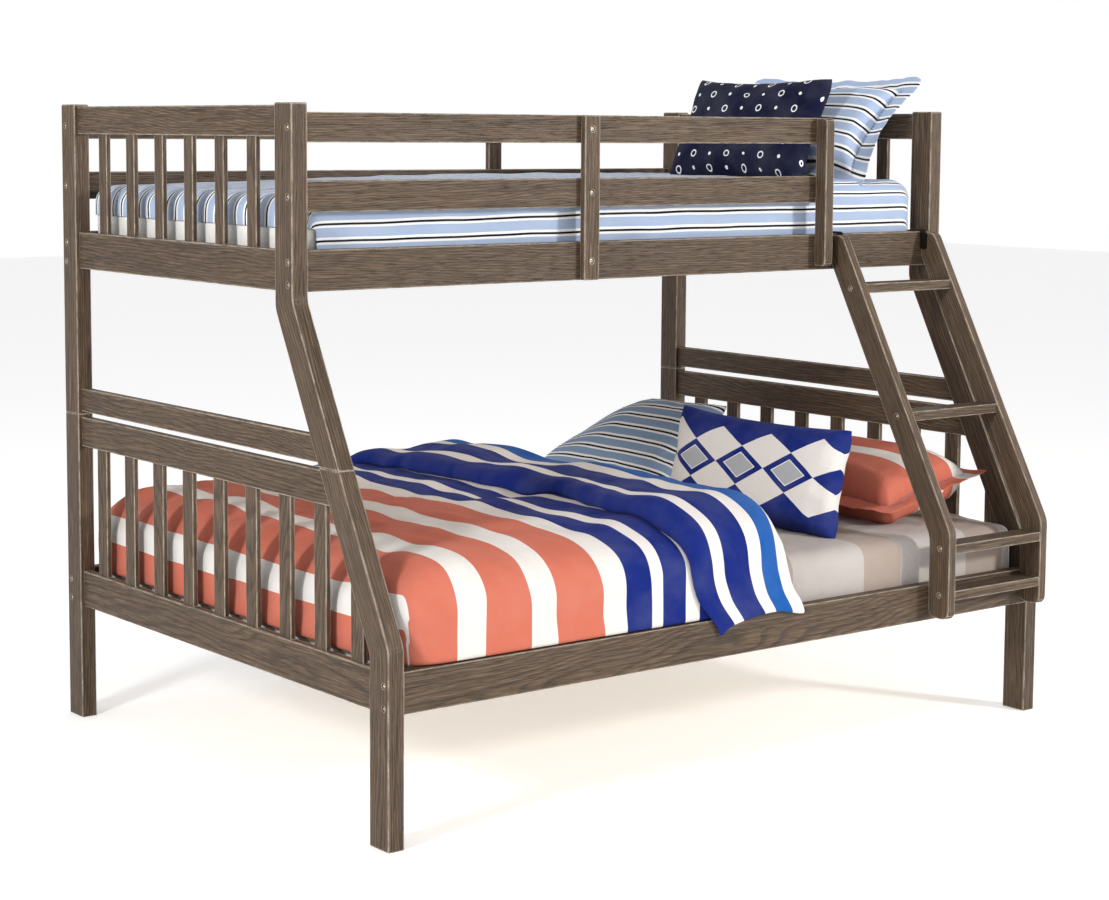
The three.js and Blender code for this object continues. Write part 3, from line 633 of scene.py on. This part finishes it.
def sagged(p, low, high, sink, sag):
    """Points of a mattress or its sheet whose top gives by `sink` at the head and `sag` at the foot."""
    depth = sag + (sink - sag) * smooth(p[:, 0], low[0], low[0] + 1.15)
    share = np.clip((p[:, 2] - low[2]) / (high[2] - low[2]), 0, 1)
    return p - (depth * share)[:, None] * np.array((0, 0, 1))


def mattress(name, node, body, inset, seed, color, sink=0.0, sag=0.0):
    """A padded mattress with a crowned top and soft lumps."""
    low, high = (np.array(c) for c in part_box(node))
    low, high = low + inset, high - inset
    points, faces, uvs = box_skin(low, high, 0.04, 0.022, 0.006)
    points = sagged(points, low, high, sink, sag) + 0.0015 * waves(points, seed, 0.25)[:, None]
    obj = subdivided(outward(new_object(name, points, faces, uvs)))
    give(obj, color)
    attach(obj, body)
    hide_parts(node)
    return obj


def fitted_sheet(name, node, body, radius, crown, keep, ripple, material):
    """A sheet stretched over a mattress; keep(points) says which points of the skin it covers."""
    low, high = (np.array(c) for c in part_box(node))
    points, faces, uvs = box_skin(low, high, radius, 0.018, crown)
    kept = keep(points)
    faces = [f for f in faces if all(kept[i] for i in f)]
    used = sorted({i for f in faces for i in f})
    renumber = {old: new for new, old in enumerate(used)}
    faces = [tuple(renumber[i] for i in f) for f in faces]
    points, uvs = points[used], uvs[used]
    points = ripple(points)
    obj = new_object(name, points, faces, uvs)
    outward(obj)
    thickness = obj.modifiers.new("thickness", "SOLIDIFY")
    thickness.thickness = 0.0022
    thickness.offset = -1
    subdivided(obj)
    give(obj, material)
    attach(obj, body)
    return obj


def build_beds():
    ticking = cloth("ticking", one_color(rgb(0xEDEBE6)), pitch=0.0016, crease=0.004, fade=0.06)
    blue = cloth("blue_sheeting", pin_striped(LIGHT_BLUE))
    bands = banded([(TAN, 0.13), (PALE, 0.24)], start=0.41, repeat=True)
    beige = cloth("beige_sheeting", bands, pitch=0.0012, crease=0.004, fade=0.14)

    mattress("upper_mattress_pad", "upper_mattress", "upper_bedding", 0.005, 3, ticking,
             UPPER_SINK, UPPER_SAG)
    mattress("lower_mattress_pad", "lower_mattress", "lower_bedding", 0.005, 4, ticking)

    u_low, u_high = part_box("upper_mattress")
    foot = u_low.x
    overhang = u_high.z - 0.095

    def upper_keep(p):
        hem = overhang + 0.006 * np.sin(p[:, 1] * 9)
        return np.where(p[:, 0] < foot + 0.03, p[:, 2] > hem, p[:, 2] > u_low.z + 0.03)

    def upper_ripple(p):
        p = p.copy()
        near_foot = 1 - smooth(p[:, 0], foot, foot + 0.35)
        near_head = smooth(p[:, 0], -foot - 0.3, -foot)
        lift = 0.0022 + 0.0025 * waves(p, 11, 0.16) + 0.004 * near_head * waves(p, 12, 0.07)
        lift += 0.002 * near_foot * waves(p, 13, 0.08)
        top = smooth(p[:, 2], u_high.z - 0.03, u_high.z)
        p[:, 2] += lift * top
        p[:, 1] += (lift * (1 - top)) * np.sign(p[:, 1] - (u_low.y + u_high.y) / 2)
        return sagged(p, u_low, u_high, UPPER_SINK, UPPER_SAG)

    fitted_sheet("upper_sheet", "upper_mattress", "upper_bedding", 0.05, 0.006,
                 upper_keep, upper_ripple, blue)

    l_low, l_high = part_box("lower_mattress")

    def lower_keep(p):
        return p[:, 2] > l_low.z + 0.02

    def lower_ripple(p):
        p = p.copy()
        top = smooth(p[:, 2], l_high.z - 0.03, l_high.z)
        near_head = smooth(p[:, 0], 0.4, 0.95)
        lift = 0.002 + 0.0022 * waves(p, 21, 0.22) + 0.0022 * waves(p, 22, 0.06) * near_head
        p[:, 2] += lift * top
        p[:, 1] += (lift * (1 - top)) * np.sign(p[:, 1] - (l_low.y + l_high.y) / 2)
        return p

    fitted_sheet("lower_sheet", "lower_mattress", "lower_bedding", 0.036, 0.006,
                 lower_keep, lower_ripple, beige)


# ---- Duvet -----------------------------------------------------------------------------------------

HANG = {"foot": -0.9655, "front": -0.695, "back": 0.744}  # faces of the cloth where it hangs
SHOULDER_RUN, SHOULDER_DROP, SHOULDER_ARC = 0.16, 0.12, 0.217
CORNER_POWER = 0.55  # below 1 the duvet's corners are squarer than a circle
DUVET_TOP, DUVET_CROWN = 0.586, 0.008
HEM_Z = 0.3775
REACH = SHOULDER_ARC + DUVET_TOP - SHOULDER_DROP - HEM_Z  # flat cloth from shoulder to hem
FLAT_X = HANG["foot"] + SHOULDER_RUN  # the top is flat from here
FLAT_Y = (HANG["front"] + SHOULDER_RUN, HANG["back"] - SHOULDER_RUN)  # and between these
FOLD_SWELL, HANG_SWELL, FOLD_PRINT = 0.040, 0.018, 0.306

DUVET_BANDS = [
    (CORAL, 0.078), (CREAM, 0.072), (CORAL, 0.131), (CREAM, 0.072), (CORAL, 0.124), (CREAM, 0.075),
    (CORAL, 0.131), (CREAM, 0.061), (ROYAL, 0.069), (CREAM, 0.033), (ROYAL, 0.071), (CREAM, 0.042),
    (ROYAL, 0.400),
]
FOLD_BANDS = [(ROYAL, 0.057), (CREAM, 0.036), (ROYAL, 0.078), (CREAM, 0.036), (AZURE, 0.052), (CREAM, 0.2)]

# x of the folded layer's two edges at places across the bed, y on top and cloth length past it
FREE_EDGE = [(-0.885, -0.097), (-0.80, -0.155), (-0.62, -0.195), (-0.45, -0.204), (-0.10, -0.138),
             (0.10, -0.178), (0.40, -0.195), (0.80, -0.220)]
HEAD_EDGE = [(-0.865, 0.172), (-0.78, 0.135), (-0.71, 0.115), (-0.59, 0.145), (-0.40, 0.180),
             (-0.10, 0.200), (0.40, 0.170), (0.80, 0.140)]
FRONT_HEM = [(0.0, 0.337), (0.12, 0.353), (0.35, 0.366), (0.7, 0.373), (1.0, 0.358)]  # z, edge to edge


def through(t, points):
    """A smooth curve through (place, value) points, level beyond the first and last."""
    at, value = (np.array(column, float) for column in zip(*points))
    slope = np.gradient(value, at)
    slope[[0, -1]] = 0
    k = np.clip(np.searchsorted(at, t) - 1, 0, len(at) - 2)
    span = at[k + 1] - at[k]
    f = np.clip((t - at[k]) / span, 0, 1)
    ease = f * f * (3 - 2 * f)
    bend = span * f * (1 - f) * (slope[k] * (1 - f) - slope[k + 1] * f)
    return value[k] * (1 - ease) + value[k + 1] * ease + bend


def drape(s, t):
    """Points, outward normals and printed places of the smooth duvet at flat places: s runs along the
    bed and t across it. They are x and y on the flat top, and cloth length past the shoulders."""
    a = np.maximum(0, FLAT_X - s)
    b = np.maximum(0, np.maximum(FLAT_Y[0] - t, t - FLAT_Y[1]))
    side = np.where(t < sum(FLAT_Y) / 2, -1.0, 1.0)
    past = np.maximum(a, b)
    share = np.where(a >= b, 0.5 * b / np.maximum(a, 1e-9), 1 - 0.5 * a / np.maximum(b, 1e-9))
    cosine, sine = np.cos(share * math.pi / 2).clip(0), np.sin(share * math.pi / 2)
    zero = np.zeros_like(s)
    corner = np.stack([-cosine**CORNER_POWER, side * sine**CORNER_POWER, zero], axis=-1)
    out = np.stack([-cosine, side * sine, zero], axis=-1)
    phase = np.clip(past / SHOULDER_ARC, 0, 1) * math.pi / 2
    point = np.stack([np.maximum(s, FLAT_X), np.clip(t, *FLAT_Y), zero + DUVET_TOP], axis=-1)
    point += corner * (SHOULDER_RUN * np.sin(phase))[..., None]
    point[..., 2] -= SHOULDER_DROP * (1 - np.cos(phase)) + np.maximum(0, past - SHOULDER_ARC)
    up, level = np.cos(phase) * SHOULDER_RUN, np.sin(phase) * SHOULDER_DROP
    normal = out * level[..., None]
    normal[..., 2] = up
    normal /= np.linalg.norm(normal, axis=-1)[..., None]
    printed = np.stack([np.where(b > a, point[..., 0], s), t], axis=-1)
    return point, normal, printed


def billows(point, seed, amount, coarse=0.34, fine=0.09):
    """Soft billows of a filling with finer creases, as a lift at each point."""
    flat = point.reshape(-1, 3)
    lift = waves(flat * (0.8, 1.0, 1.0), seed, coarse, octaves=2)
    lift += 0.28 * waves(flat * (1.0, 0.45, 0.6), seed + 1, fine, octaves=2)
    return amount * lift.reshape(point.shape[:-1])


def duvet_skin(s, t):
    """The outer face of the duvet's lower layer, crowned and billowing, and still at its hem."""
    point, normal, printed = drape(s, t)
    level = smooth(normal[..., 2], 0.3, 1.0)
    lift = DUVET_CROWN * smooth(s, -0.8, -0.2) * level + billows(point, 31, 0.008)
    point = point + normal * (lift * smooth(point[..., 2], HEM_Z, HEM_Z + 0.06))[..., None]
    point[..., 0] = np.maximum(point[..., 0], HANG["foot"])
    point[..., 1] = np.clip(point[..., 1], HANG["front"], HANG["back"])
    return point, normal, printed


def slab(name, outer, inner, printed):
    """A closed quilt from an outer and an inner grid of points, joined round their rims."""
    rows, columns = outer.shape[:2]
    index = np.arange(rows * columns).reshape(rows, columns)
    under = index + rows * columns
    rim = rim_of(index)
    faces = quads(index) + quads(under[::-1])
    faces += [(a, a + rows * columns, b + rows * columns, b) for a, b in zip(rim, rim[1:] + rim[:1])]
    points = np.concatenate([outer.reshape(-1, 3), inner.reshape(-1, 3)])
    return outward(new_object(name, points, faces, np.concatenate([printed.reshape(-1, 2)] * 2)))


def quilt(obj, bands, start):
    give(obj, cloth(obj.name + "_print", banded(bands, start=start), crease=0.004))
    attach(obj, "lower_bedding")
    return obj


def build_duvet():
    """The duvet's lower layer, from the foot to under the fold."""
    share_s, share_t = np.meshgrid(np.linspace(0, 1, 100), np.linspace(0, 1, 110), indexing="ij")
    t = FLAT_Y[0] - REACH + share_t * (FLAT_Y[1] - FLAT_Y[0] + 2 * REACH)
    tucked = 0.05
    s_end = through(np.clip(t, *FLAT_Y), HEAD_EDGE) - tucked
    s = FLAT_X - REACH + share_s * (s_end - FLAT_X + REACH)
    outer, normal, printed = duvet_skin(s, t)
    rim = np.minimum(np.minimum(share_s, 1 - share_s) * 8, np.minimum(share_t, 1 - share_t) * 12)
    thick = 0.022 * (0.35 + 0.65 * np.sqrt(np.clip(rim, 0, 1)))
    cover = subdivided(slab("duvet_cover", outer, outer - normal * thick[..., None], printed))
    quilt(cover, DUVET_BANDS, FLAT_X - REACH)
    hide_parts("duvet")


def build_fold():
    """The duvet's head end folded back over itself, with one side hanging over the front rail."""
    share_s, share_t = np.meshgrid(np.linspace(0, 1, 34), np.linspace(0, 1, 120), indexing="ij")
    front = SHOULDER_ARC + DUVET_TOP - SHOULDER_DROP - through(share_s, FRONT_HEM)
    t = FLAT_Y[0] - front + share_t * (FLAT_Y[1] - FLAT_Y[0] + front + REACH - 0.004)
    start, end = through(t, FREE_EDGE), through(t, HEAD_EDGE)
    base, normal, _ = duvet_skin(start + share_s * (end - start), t)
    on_top = smooth(normal[..., 2], 0.1, 0.95)
    swell = HANG_SWELL + (FOLD_SWELL - HANG_SWELL) * on_top
    edge = np.clip(np.minimum((share_s + 0.02) / 0.14, (1 - share_s) / 0.24), 0, 1)
    lift = swell * np.sqrt(1 - (1 - edge) ** 2) + billows(base, 41, 0.005) * edge
    over_rail = smooth(-base[..., 2], -0.43, -0.39) * smooth(-t, 0.2, 0.6)
    gap = 0.0005 + 0.0095 * over_rail
    outer = base + normal * np.maximum(lift, gap + 0.005)[..., None]
    inner = base + normal * gap[..., None]
    rolled = smooth(normal[..., 2], 0.5, 1.0)
    outer[..., 2] -= 0.055 * smooth(share_s, 0.80, 1.0) ** 2 * rolled
    inner[..., 2] -= 0.085 * smooth(share_s, 0.70, 1.0) * rolled
    printed = np.stack([share_s * FOLD_PRINT, t], axis=-1)
    quilt(subdivided(slab("duvet_fold", outer, inner, printed)), FOLD_BANDS, 0.0)


# ---- Pillows ---------------------------------------------------------------------------------------


def inflate(obj, pressure, frames, cap):
    """Swells a closed cloth mesh by simulation; no point moves further than cap."""
    rest = get_points(obj)
    modifier = obj.modifiers.new("cloth", "CLOTH")
    settings = modifier.settings
    settings.quality = 6
    settings.mass = 0.25
    settings.tension_stiffness = settings.compression_stiffness = 25
    settings.shear_stiffness = 8
    settings.bending_stiffness = 0.3
    settings.use_pressure = True
    settings.uniform_pressure_force = pressure
    settings.effector_weights.gravity = 0
    modifier.point_cache.frame_start = 1
    modifier.point_cache.frame_end = frames
    for frame_number in range(1, frames + 1):
        bpy.context.scene.frame_set(frame_number)
    apply_modifiers(obj)
    bpy.context.scene.frame_set(1)
    moved = get_points(obj) - rest
    length = np.linalg.norm(moved, axis=1)
    moved *= np.minimum(1, cap / np.maximum(length, 1e-9))[:, None]
    set_points(obj, rest + moved)
    return obj


def stuffed_case(name, width, height, thick, seed):
    """A stuffed case lying flat: two layers that share one seam, swollen by simulation and brought to
    its size. Returns the object, its seam's vertices in order, and their places from -1 to 1."""
    columns, rows = round(width / 0.014), round(height / 0.014)
    u, v = np.meshgrid(np.linspace(-1, 1, columns), np.linspace(-1, 1, rows))
    swell = np.sqrt(np.clip((1 - u**4) * (1 - v**4), 0, 1))
    flat = np.stack([width / 2 * u, height / 2 * v, 0 * u], axis=-1)
    pinch = 0.004 * (1 - swell) * waves(flat.reshape(-1, 3), seed, 0.05).reshape(rows, columns)
    z = thick / 2 * swell**0.9
    drawn = flat * np.stack([1 - 0.05 * (1 - v * v), 1 - 0.06 * (1 - u * u), 1 + 0 * u], axis=-1)
    top = drawn + np.stack([0 * u, 0 * u, z + pinch], axis=-1)
    bottom = drawn + np.stack([0 * u, 0 * u, pinch - z], axis=-1)
    index = np.arange(rows * columns).reshape(rows, columns)
    under = index.copy()
    under[1:-1, 1:-1] = rows * columns + np.arange((rows - 2) * (columns - 2)).reshape(rows - 2, -1)
    points = np.concatenate([top.reshape(-1, 3), bottom[1:-1, 1:-1].reshape(-1, 3)])
    uvs = np.concatenate([flat.reshape(-1, 3), flat[1:-1, 1:-1].reshape(-1, 3)])[:, :2]
    obj = outward(new_object(name, points, quads(index) + quads(under[::-1]), uvs))
    inflate(obj, 2.4, 16, 0.012)
    swollen = get_points(obj)
    middle = (swollen.min(0) + swollen.max(0)) / 2
    set_points(obj, (swollen - middle) * (width, height, thick) / np.ptp(swollen, axis=0))
    rim = rim_of(index)
    return obj, rim, np.stack([u.ravel()[rim], v.ravel()[rim]], axis=1)


def add_flange(obj, rim, places, size, reach, seed):
    """A flat double border sewn to the seam of a stuffed case, waving a little towards its edge."""
    seam = get_points(obj)[rim]
    out = np.sign(places) * (np.abs(places) > 1 - 1e-9)
    count, steps, layers = len(rim), 6, (0.0013, -0.0013)
    shares = np.linspace(-0.15, 1, steps)
    points, uvs = [], []
    for side in layers:
        for share in shares:
            line = seam.copy()
            line[:, :2] += reach * share * out
            ripple = 0.008 * waves(line, seed, 0.12) + 0.0015 * waves(line, seed + 1, 0.03)
            line[:, 2] += side + max(share, 0) * ripple
            points.append(line)
            uvs.append(places * (size[0] / 2, size[1] / 2) + reach * share * out)
    grid = np.arange(2 * steps * count).reshape(2, steps, count)
    closed = np.concatenate([grid, grid[:, :, :1]], axis=2)
    faces = quads(closed[0]) + quads(closed[1][::-1])
    for step in (0, -1):
        faces += quads(np.stack([closed[0, step], closed[1, step]]))
    ribbon = outward(new_object(obj.name + "_flange", np.concatenate(points), faces, np.concatenate(uvs)))
    with bpy.context.temp_override(active_object=obj, selected_editable_objects=[obj, ribbon]):
        bpy.ops.object.join()


def droop(points, corner, reach, by):
    """Points near the corner moved by `by`, fading to nothing at `reach`."""
    share = 1 - np.linalg.norm(points - corner, axis=1) / reach
    return points + smooth(share, 0, 1)[:, None] * np.array(by)


def pillow(name, node, body, case, lean, seed, pattern, bed=BED_Z, border=0.0, hang=None):
    """A pillow in the place of its CAD node: case is its width, height and thickness, and lean its tilt
    back from upright. It sinks a little and is flat where it rests on the bed."""
    width, height, thick = case
    inner = (width - 2 * border, height - 2 * border)
    obj, rim, places = stuffed_case(name, *inner, thick, seed)
    if border:
        add_flange(obj, rim, places, inner, border, seed + 5)
    subdivided(obj)
    angle = math.radians(lean)
    up = Vector((math.sin(angle), 0, math.cos(angle)))
    across = Vector((0, -1, 0))
    basis = np.array(Matrix((across, up, across.cross(up))))
    points = get_points(obj) @ basis
    low, high = (np.array(corner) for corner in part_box(node))
    points += (low + high) / 2 - (points.min(0) + points.max(0)) / 2
    sink, skin = 0.010, 0.003
    points[:, 2] += bed - sink - points[:, 2].min()
    points[:, 2] = np.maximum(points[:, 2], bed + skin)
    if hang is not None:
        points = droop(points, *hang)
    set_points(obj, points)
    print_ = stitched(pattern, inner[0] / 2, inner[1] / 2) if border else pattern
    give(obj, cloth(name + "_print", print_, crease=0.005))
    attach(obj, body)
    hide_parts(node)


def build_pillows():
    coral_bands = [(CORAL, 0.170), (CREAM, 0.045), (CORAL, 0.085), (CREAM, 0.045), (CORAL, 0.045)]
    coral = banded(coral_bands, along="v", start=-0.195)
    for side, seed in (("front", 51), ("back", 52)):
        pillow(f"{side}_sham", f"lower_sham_{side}", "lower_bedding", (0.64, 0.39, 0.17),
               78, seed, coral, border=0.045)
    back_corner = np.array((0.70, 0.72, 0.74))
    pillow("striped_pillow", "lower_striped_pillow", "lower_bedding",
           (0.60, 0.36, 0.10), 42, 53, pin_striped(GREY_BLUE, 0.042),
           hang=(back_corner, 0.36, (0, -0.05, -0.12)))
    pillow("lattice_pillow", "lower_lattice_pillow", "lower_bedding",
           (0.65, 0.30, 0.11), 12, 54, lattice)
    front_corner = np.array((0.70, -0.30, UPPER_BED_Z))
    pillow("upper_sham_case", "upper_sham", "upper_bedding", (0.66, 0.385, 0.12),
           42, 55, pin_striped(LIGHT_BLUE, 0.043), bed=UPPER_BED_Z, border=0.045,
           hang=(front_corner, 0.16, (0, 0.006, -0.035)))
    pillow("dotted_cushion", "upper_cushion", "upper_bedding", (0.53, 0.32, 0.10),
           24, 56, ringed, bed=UPPER_BED_Z)


# ---- Floor, light and camera -----------------------------------------------------------------------


def build_sky():
    """White walls under a dimmer ceiling."""
    world = bpy.data.worlds.new("studio")
    world.use_nodes = True
    nodes, links = world.node_tree.nodes, world.node_tree.links
    height = nodes.new("ShaderNodeSeparateXYZ")
    links.new(nodes.new("ShaderNodeTexCoord").outputs["Generated"], height.inputs[0])
    shade = nodes.new("ShaderNodeValToRGB")
    low, high = shade.color_ramp.elements
    low.position, low.color = 0.25, (1, 1, 1, 1)
    high.position, high.color = 0.85, (0.5, 0.5, 0.5, 1)
    links.new(height.outputs["Z"], shade.inputs["Fac"])
    links.new(shade.outputs["Color"], nodes["Background"].inputs["Color"])
    bpy.context.scene.world = world


def build_stage():
    bpy.ops.mesh.primitive_plane_add(size=40, location=(0, 0, 0))
    floor = bpy.context.object
    floor.name = "floor"
    s = Shader("pale_floor", roughness=0.8, Emission_Color=(1, 1, 1, 1), Emission_Strength=0.30)
    tone = s.noise(s.scaled(s.place(), (0.4, 0.4, 0.4)), 1.0)
    give(floor, s.done(s.mix(tone, (0.86, 0.86, 0.86, 1), (0.89, 0.89, 0.89, 1))))
    build_sky()
    bpy.context.scene.view_settings.view_transform = "Standard"


def area_light(name, location, target, size, power, color=(1, 1, 1)):
    light = bpy.data.lights.new(name, "AREA")
    light.shape = "DISK"
    light.size = size
    light.energy = power
    light.color = color
    obj = bpy.data.objects.new(name, light)
    obj.location = location
    obj.rotation_euler = (Vector(target) - Vector(location)).to_track_quat("-Z", "Y").to_euler()
    bpy.context.scene.collection.objects.link(obj)


def build_lights():
    middle = (0, 0, 0.8)
    area_light("key", (3.4, -5.4, 2.7), middle, 0.7, 260, (1.0, 0.98, 0.95))
    area_light("fill", (-5.0, -1.6, 2.6), middle, 0.8, 150)
    area_light("top", (0.0, 0.0, 5.5), middle, 4.0, 40)


def build_camera():
    camera = bpy.data.cameras.new("camera")
    camera.sensor_fit = "HORIZONTAL"
    camera.sensor_width = 36
    camera.lens = 74.77
    camera.shift_y = -0.0748
    camera.clip_end = 60
    obj = bpy.data.objects.new("camera", camera)
    obj.location = (-3.6039, -4.5565, 1.4894)
    yaw, pitch, roll = math.radians(38.10), math.radians(-5.86), math.radians(-0.39)
    look = Vector((math.sin(yaw) * math.cos(pitch), math.cos(yaw) * math.cos(pitch), math.sin(pitch)))
    turn = look.to_track_quat("-Z", "Y") @ Matrix.Rotation(-roll, 3, "Z").to_quaternion()
    obj.rotation_euler = turn.to_euler()
    bpy.context.scene.collection.objects.link(obj)
    bpy.context.scene.camera = obj


finish_timber()
build_bolts()
build_beds()
build_duvet()
build_fold()
build_pillows()
build_stage()
build_lights()
build_camera()
